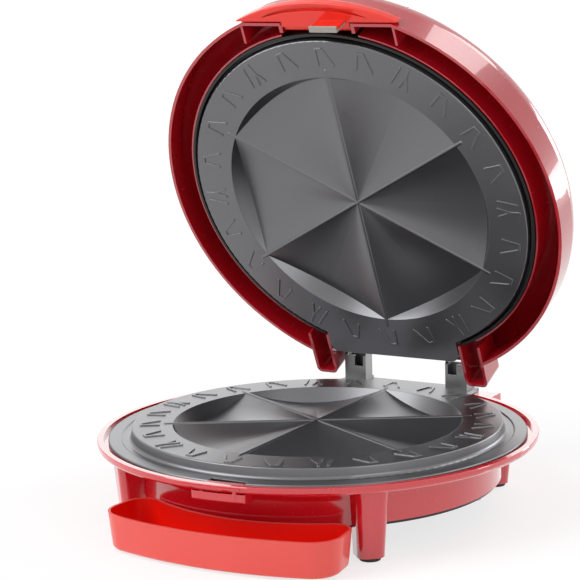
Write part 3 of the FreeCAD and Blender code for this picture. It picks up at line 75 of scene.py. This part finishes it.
# %% A socket with arithmetic
class Amount:
    """One value socket of a finish's node tree, with + - * / and powers."""

    def __init__(self, finish, socket):
        self.finish = finish
        self.socket = socket

    def step(self, operation, first, second=None, clamp=False):
        sockets = {0: first} if second is None else {0: first, 1: second}
        return self.finish.node("ShaderNodeMath", {"operation": operation, "use_clamp": clamp}, sockets)

    def __add__(self, other): return self.step("ADD", self, other)
    def __radd__(self, other): return self.step("ADD", other, self)
    def __sub__(self, other): return self.step("SUBTRACT", self, other)
    def __rsub__(self, other): return self.step("SUBTRACT", other, self)
    def __mul__(self, other): return self.step("MULTIPLY", self, other)
    def __rmul__(self, other): return self.step("MULTIPLY", other, self)
    def __truediv__(self, other): return self.step("DIVIDE", self, other)
    def __pow__(self, other): return self.step("POWER", self, other)

    def clamped(self):
        return self.step("ADD", self, 0.0, clamp=True)

    def above(self, low, high):
        """0 below low, 1 above high, and a smooth ramp between."""
        return self.finish.node("ShaderNodeMapRange", {"interpolation_type": "SMOOTHSTEP"},
                                {"Value": self, "From Min": low, "From Max": high})


# %% [markdown]
# ## One way to make every node
# All finishes are built with one method: it takes the node's type, its settings, and what goes
# into its sockets. A number stays on the socket, and an Amount becomes a link. The shader's
# even values, such as its clear coat, are plain numbers on its own sockets.

# %% A finish
class Finish:
    """A procedural material with one Principled shader, measured in metres on the object."""

    def __init__(self, name, **even_values):
        self.material = bpy.data.materials.new(name)
        self.material.use_nodes = True
        self.tree = self.material.node_tree
        self.shader = self.tree.nodes["Principled BSDF"]
        for socket_name, value in even_values.items():
            self.shader.inputs[socket_name.replace("_", " ")].default_value = value
        self.place = self.node("ShaderNodeTexCoord", out="Object")

    def node(self, kind, settings=None, sockets=None, out=0):
        made = self.tree.nodes.new(kind)
        for key, value in (settings or {}).items():
            if key == "stops":
                while len(made.color_ramp.elements) < len(value):
                    made.color_ramp.elements.new(0.5)
                for element, (position, colour) in zip(made.color_ramp.elements, value):
                    element.position = position
                    element.color = colour
            else:
                setattr(made, key, value)
        for key, value in (sockets or {}).items():
            self.plug(made.inputs[key], value)
        return Amount(self, made.outputs[out])

    def plug(self, socket, value):
        if isinstance(value, Amount):
            self.tree.links.new(value.socket, socket)
        else:
            socket.default_value = value

    def feed(self, **varying):
        """Feeds what changes over the surface into the shader, such as Base_Color."""
        for socket_name, value in varying.items():
            self.plug(self.shader.inputs[socket_name.replace("_", " ")], value)
        return self

    def noise(self, size, detail=2.0, stretch=(1, 1, 1), out="Fac"):
        """Cloudy noise whose blobs are about size metres wide."""
        place = self.node("ShaderNodeMapping", sockets={"Vector": self.place, "Scale": stretch}, out="Vector")
        return self.node("ShaderNodeTexNoise", sockets={"Vector": place, "Scale": 1 / size, "Detail": detail}, out=out)

    def cells(self, size, out="Distance", feature="F1"):
        return self.node("ShaderNodeTexVoronoi", {"feature": feature},
                         {"Vector": self.place, "Scale": 1 / size}, out=out)

    def blend(self, mask, first, second):
        """first where mask is 0, second where it's 1; both are colours."""
        return self.node("ShaderNodeMix", {"data_type": "RGBA"}, {0: mask, 6: first, 7: second}, out=2)

    def rounded(self, radius):
        """Normal that runs smoothly over the sharp edges of a moulded or pressed piece."""
        return self.node("ShaderNodeBevel", {"samples": 6}, {"Radius": radius})

    def edge_mask(self, soft_normal, start, end):
        """0 on open surfaces, 1 on edges, where the finishes paint a paler colour as a highlight."""
        true_normal = self.node("ShaderNodeNewGeometry", out="Normal")
        along = self.node("ShaderNodeVectorMath", {"operation": "DOT_PRODUCT"},
                          {0: soft_normal, 1: true_normal}, out="Value")
        return (1 - along).above(start, end)

    def faces_inwards(self, centre, radius, half_length, height):
        """1 where a surface faces the middle line of a curved trough, as its inside does.

        The middle line is an arc about centre, half_length long to either side."""
        across = self.node("ShaderNodeSeparateXYZ", sockets={"Vector": self.place}, out="X")
        along = self.node("ShaderNodeClamp", sockets={"Value": across - centre[0],
                                                      "Min": -half_length, "Max": half_length})
        middle = self.node("ShaderNodeCombineXYZ",
                           sockets={"X": along + centre[0], "Z": height,
                                    "Y": centre[1] - (radius ** 2 - along * along) ** 0.5})
        from_middle = self.node("ShaderNodeVectorMath", {"operation": "SUBTRACT"},
                                {0: self.place, 1: middle}, out="Vector")
        true_normal = self.node("ShaderNodeNewGeometry", out="Normal")
        along = self.node("ShaderNodeVectorMath", {"operation": "DOT_PRODUCT"},
                          {0: from_middle, 1: true_normal}, out="Value")
        return (0 - along).above(-0.001, 0.001)

    def bump(self, height, depth, normal=None):
        """Relief from a height between 0 and 1, depth metres deep."""
        sockets = {"Height": height, "Strength": 1.0, "Distance": depth}
        if normal is not None:
            sockets["Normal"] = normal
        return self.node("ShaderNodeBump", sockets=sockets)

    def apply(self, *node_names):
        for node_name in node_names:
            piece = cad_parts[node_name]
            piece.data.materials.clear()
            piece.data.materials.append(self.material)
        print(self.material.name, "on", len(node_names), "pieces")


# %% [markdown]
# ## Moulded housings
# The base and the lid are injection-moulded, high-gloss red plastic. Real gloss is never
# perfect: the surface follows the mould with a faint long ripple, and cleaning leaves fine
# hairlines that only show in a reflection. Both are far smaller than anything in the shape,
# so they belong in the finish.

# %% Glossy red plastic
def red_housing(name, deep_red, warm_red):
    gloss = Finish(name, Specular_IOR_Level=0.5, Coat_Weight=1.0, Coat_Roughness=0.03,
                   Coat_IOR=1.6)
    cloud = gloss.noise(0.09, 3)
    hairline = gloss.noise(0.0016, 2, stretch=(1, 0.06, 0.3)).above(0.62, 0.70)
    ripple = gloss.noise(0.006, 1)
    gloss.feed(Base_Color=gloss.blend(cloud, deep_red, warm_red),
               Roughness=0.16 + cloud * 0.05 + hairline * 0.10,
               Normal=gloss.bump(ripple, 0.00001))
    return gloss


base_red = red_housing("glossy_red_plastic_base", (0.62, 0.006, 0.016, 1), (0.70, 0.010, 0.022, 1))
# The lid gets a darker copy of the same red: painted shade for its inside, which stands in shade.
lid_red_painted_shade = red_housing("glossy_red_plastic_lid_painted_shade", (0.45, 0.005, 0.013, 1), (0.51, 0.009, 0.020, 1))
base_red.apply("base_housing", "front_bar")
lid_red_painted_shade.apply("lid_housing")

# %% [markdown]
# ## Grip and tray
# The tray and the grip are a softer, more orange plastic with a satin skin: the mould was
# spark-eroded, which leaves a very fine grain. A little light also travels inside it, which
# lifts the colour where the wall is thin.

# %% Satin orange-red plastic
def satin_grip(name, base, light, coat, coat_roughness, specular, inside_painted_shade=None, trough=None):
    satin = Finish(name, Specular_IOR_Level=specular, Coat_Weight=coat, Coat_Roughness=coat_roughness,
                   Subsurface_Weight=0.10, Subsurface_Scale=0.004)
    satin.shader.inputs["Subsurface Radius"].default_value = (1.0, 0.25, 0.12)
    soft = satin.rounded(0.0007)
    cloud = satin.noise(0.05, 3)
    grain = satin.noise(0.0005, 2)
    edge = satin.edge_mask(soft, 0.02, 0.4)
    colour = satin.blend(cloud, base, light)
    if inside_painted_shade is not None:
        inside = satin.faces_inwards(**trough)
        # Faces on the tray's inside get a deeper, darker red: painted shade on the same plastic. The clear coat is
        # dropped there too.
        colour = satin.blend(inside, colour, inside_painted_shade)
        satin.feed(Coat_Weight=(1 - inside) * coat)
    # Edges are painted a paler salmon: a painted highlight.
    satin.feed(Base_Color=satin.blend(edge * 0.3, colour, (0.95, 0.20, 0.14, 1)),
               Roughness=0.30 + cloud * 0.06 + grain * 0.06,
               Normal=satin.bump(grain, 0.00002, soft))
    return satin


tray_low, tray_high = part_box("drip_tray")
tray_end_width = 0.030
tray_trough = {"centre": ((tray_low[0] + tray_high[0]) / 2, base_centre.y),
               "radius": 0.180,
               "half_length": (tray_high[0] - tray_low[0]) / 2 - tray_end_width,
               "height": (tray_low[2] + tray_high[2]) / 2}
# The third colour below is the deeper red painted on the tray's inside: painted shade.
tray_finish = satin_grip("satin_tray_plastic", (0.84, 0.085, 0.070, 1), (0.90, 0.105, 0.085, 1),
                         coat=0.4, coat_roughness=0.10, specular=0.3,
                         inside_painted_shade=(0.86, 0.008, 0.002, 1), trough=tray_trough)
grip_finish = satin_grip("satin_grip_plastic", (0.84, 0.020, 0.007, 1), (0.90, 0.030, 0.011, 1),
                         coat=0.8, coat_roughness=0.05, specular=0.2)
tray_finish.apply("drip_tray")
grip_finish.apply("latch_handle")

# %% [markdown]
# ## Coated cooking plates
# The plates are cast aluminium with a grey non-stick coat. The coat is sprayed on, so it has a
# fine orange-peel relief and a slight sparkle, and it shines where it has been wiped. A coated
# metal reflects more than a plastic does, so the shader is partly metallic.

# %% Non-stick coating
def plate_coating():
    coat = Finish("grey_non_stick_coat", Metallic=0.92, Specular_IOR_Level=0.5)
    soft = coat.rounded(0.0006)
    cloud = coat.noise(0.07, 4)
    peel = coat.noise(0.0011, 3)
    spark = coat.cells(0.0007, out="Distance").above(0.32, 0.10)
    edge = coat.edge_mask(soft, 0.02, 0.35)
    dark = (0.155, 0.156, 0.163, 1)
    light = (0.185, 0.186, 0.194, 1)
    edge_highlight_tone = (0.30, 0.30, 0.31, 1)
    # Edges are painted a paler grey: a painted highlight.
    coat.feed(Base_Color=coat.blend(edge * 0.55, coat.blend(cloud, dark, light), edge_highlight_tone),
              Roughness=0.28 + cloud * 0.08 - spark * 0.05,
              Normal=coat.bump(peel, 0.00003, soft))
    return coat


plate_finish = plate_coating()
plate_finish.apply("lower_plate", "upper_plate")

# %% [markdown]
# ## Black mouldings
# The ring round the upper plate and the bottom cover are black heat-proof plastic with a fine
# moulded grain. The feet and the grommet are rubber, which is rougher and picks up dust.

# %% Black plastic and rubber
def black_moulding(name, tone, roughness, grain_size, grain_depth):
    black = Finish(name, Specular_IOR_Level=0.5)
    soft = black.rounded(0.0005)
    cloud = black.noise(0.03, 3)
    grain = black.noise(grain_size, 2)
    dust = black.noise(0.012, 4).above(0.55, 0.80)
    base = (tone, tone, tone * 1.05, 1)
    dusty = (tone * 2 + 0.02, tone * 2 + 0.02, tone * 2 + 0.018, 1)
    black.feed(Base_Color=black.blend(dust * 0.35, base, dusty),
               Roughness=roughness + cloud * 0.08,
               Normal=black.bump(grain, grain_depth, soft))
    return black


black_finish = black_moulding("black_heatproof_plastic", 0.006, 0.38, 0.0007, 0.00003)
rubber_finish = black_moulding("black_rubber", 0.022, 0.68, 0.0009, 0.00006)
black_finish.apply("lid_inner_ring", "base_bottom_cover")
rubber_finish.apply("rubber_feet", "cord_gland")

# %% [markdown]
# ## Sheet metal and fasteners
# The hinge brackets are pressed from dark steel sheet, and the pins, clips and screws are
# turned or stamped bright steel. Rolled sheet has long fine lines in one direction, which
# stretch the reflection, so the noise is squeezed along one axis.

# %% Metals
def metal(name, tone, roughness, line_stretch, edge_highlight_share=0.5, tint=(1, 1, 1)):
    sheet = Finish(name, Metallic=1.0)
    soft = sheet.rounded(0.0004)
    lines = sheet.noise(0.0006, 3, stretch=line_stretch)
    cloud = sheet.noise(0.02, 4)
    edge = sheet.edge_mask(soft, 0.02, 0.35)
    base = tuple(tone * part for part in tint) + (1,)
    pale = tuple(min(1.0, tone * 1.25 * part) for part in tint) + (1,)
    bright = tuple(min(1.0, tone * 1.5 + 0.08) for part in tint) + (1,)
    # Edges are painted a brighter tone: a painted highlight.
    sheet.feed(Base_Color=sheet.blend(edge * edge_highlight_share, sheet.blend(cloud, base, pale), bright),
               Roughness=roughness + lines * 0.14 + cloud * 0.06,
               Normal=sheet.bump(lines, 0.00001, soft))
    return sheet


bracket_finish = metal("dark_pressed_steel", 0.26, 0.30, (1, 1, 0.03))
pin_finish = metal("bright_steel", 0.55, 0.16, (0.05, 1, 1))
reflector_finish = metal("rolled_aluminium", 0.78, 0.14, (1, 0.02, 1), edge_highlight_share=0.2)
element_finish = metal("heat_tinted_steel", 0.20, 0.42, (1, 1, 1), tint=(1.05, 0.95, 0.85))
bracket_finish.apply("hinge_bracket_right", "hinge_bracket_left", "hinge_arms")
pin_finish.apply("hinge_pins", "hinge_pin_clips", "hinge_bracket_screws", "hinge_arm_screws", "latch_pin", "latch_spring",
                 "bottom_cover_screws", "reflector_screws", "inner_ring_screws", "upper_plate_screws",
                 "lower_plate_posts", "upper_plate_posts", "lower_element_clamps", "upper_element_clamps")
reflector_finish.apply("lower_reflector", "upper_reflector")
element_finish.apply("lower_heating_element", "upper_heating_element")

# %% [markdown]
# ## Ceramic and the hook
# The insulators and the thermostat bodies are unglazed ceramic: matt, off-white and slightly
# speckled. The latch hook is a grey-beige engineering plastic that shows under the grip.

# %% Ceramic and hook plastic
def speckled(name, base, fleck, roughness):
    stone = Finish(name, Specular_IOR_Level=0.4)
    soft = stone.rounded(0.0004)
    flecks = stone.noise(0.0012, 2).above(0.60, 0.72)
    grain = stone.noise(0.0006, 3)
    stone.feed(Base_Color=stone.blend(flecks * 0.5, base, fleck),
               Roughness=roughness + grain * 0.1,
               Normal=stone.bump(grain, 0.00004, soft))
    return stone


ceramic_finish = speckled("unglazed_ceramic", (0.80, 0.77, 0.70, 1), (0.50, 0.45, 0.38, 1), 0.62)
hook_finish = speckled("grey_beige_plastic", (0.38, 0.355, 0.315, 1), (0.31, 0.29, 0.26, 1), 0.38)
ceramic_finish.apply("lower_element_insulators", "upper_element_insulators", "lower_thermostat",
                     "upper_thermostat", "thermal_fuse", "terminal_block")
hook_finish.apply("latch_hook")

# %% [markdown]
# ## The floor and the white surround
# The machine stands on an endless white floor. The floor keeps the shadow of the machine near
# it, and fades to plain white further out. What the camera and the reflections see is white,
# while the light that falls on the machine stays at a plain level.

# %% Floor
floor_size = 30.0
shadow_share = 0.30
mirror_share = 0.90
white_level = 1.06


def floor_finish():
    finish = Finish("white_floor", Roughness=0.9)
    finish.shader.inputs["Base Color"].default_value = (0.92, 0.92, 0.92, 1)
    place = finish.node("ShaderNodeVectorMath", {"operation": "LENGTH"}, {0: finish.place}, out="Value")
    far = place.above(0.30, 0.90)
    seen = finish.node("ShaderNodeLightPath", out="Is Camera Ray")
    mirrored = finish.node("ShaderNodeLightPath", out="Is Glossy Ray")
    share = (seen * ((1 - shadow_share) + far * shadow_share) + mirrored * mirror_share).clamped()
    white = finish.node("ShaderNodeEmission", sockets={"Color": (1, 1, 1, 1), "Strength": white_level})
    mixed = finish.node("ShaderNodeMixShader", sockets={0: share, 1: Amount(finish, finish.shader.outputs[0]),
                                                        2: white})
    output = finish.tree.nodes["Material Output"]
    finish.tree.links.new(mixed.socket, output.inputs["Surface"])
    return finish


floor_mesh = bpy.data.meshes.new("floor")
half = floor_size / 2
floor_mesh.from_pydata([(-half, -half, 0), (half, -half, 0), (half, half, 0), (-half, half, 0)], [], [(0, 1, 2, 3)])
floor = bpy.data.objects.new("floor", floor_mesh)
floor_mesh.materials.append(floor_finish().material)
bpy.context.scene.collection.objects.link(floor)

# %% [markdown]
# ## Light
# Large soft boxes do the work, as in a product studio: a broad one over the left shoulder, a
# weaker one on the right, and three behind, which draw a pale shine along rounded edges. The world fills the shadows, and is white for the camera and in
# reflections, so that the gloss shows a white studio.

# %% World
world = bpy.data.worlds.new("studio")
world.use_nodes = True
bpy.context.scene.world = world
tree = world.node_tree
surround = tree.nodes["Background"]
surround.inputs["Color"].default_value = (1, 1, 1, 1)
path = tree.nodes.new("ShaderNodeLightPath")
widest = tree.nodes.new("ShaderNodeMath")
widest.operation = "MAXIMUM"
tree.links.new(path.outputs["Is Camera Ray"], widest.inputs[0])
tree.links.new(path.outputs["Is Glossy Ray"], widest.inputs[1])
strength = tree.nodes.new("ShaderNodeMapRange")
tree.links.new(widest.outputs[0], strength.inputs["Value"])
strength.inputs["To Min"].default_value = 0.36
strength.inputs["To Max"].default_value = 1.0
tree.links.new(strength.outputs[0], surround.inputs["Strength"])


# %% Soft boxes
def soft_box(name, place, size, power):
    light = bpy.data.lights.new(name, "AREA")
    light.shape = "RECTANGLE"
    light.size, light.size_y = size
    light.energy = power
    lamp = bpy.data.objects.new(name, light)
    lamp.location = place
    lamp.visible_camera = False
    lamp.rotation_mode = "QUATERNION"
    lamp.rotation_quaternion = (Vector((0, 0, 0.15)) - Vector(place)).to_track_quat("-Z", "Y")
    bpy.context.scene.collection.objects.link(lamp)
    return lamp


soft_box("key_box", (-1.3, -1.3, 1.7), (2.0, 2.0), 44)
soft_box("fill_box", (1.8, -0.9, 1.1), (0.9, 1.4), 8)
soft_box("rear_box_left", (-1.2, 2.1, 0.7), (2.0, 1.2), 6)
soft_box("rear_box_right", (1.0, 2.1, 0.45), (1.0, 0.9), 13)
soft_box("top_box", (0.75, 1.3, 1.85), (0.9, 1.1), 11)

# %% [markdown]
# ## View settings
# The view is set to Standard, so that a colour shows as it's written.

# %% Finish
bpy.context.scene.view_settings.view_transform = "Standard"
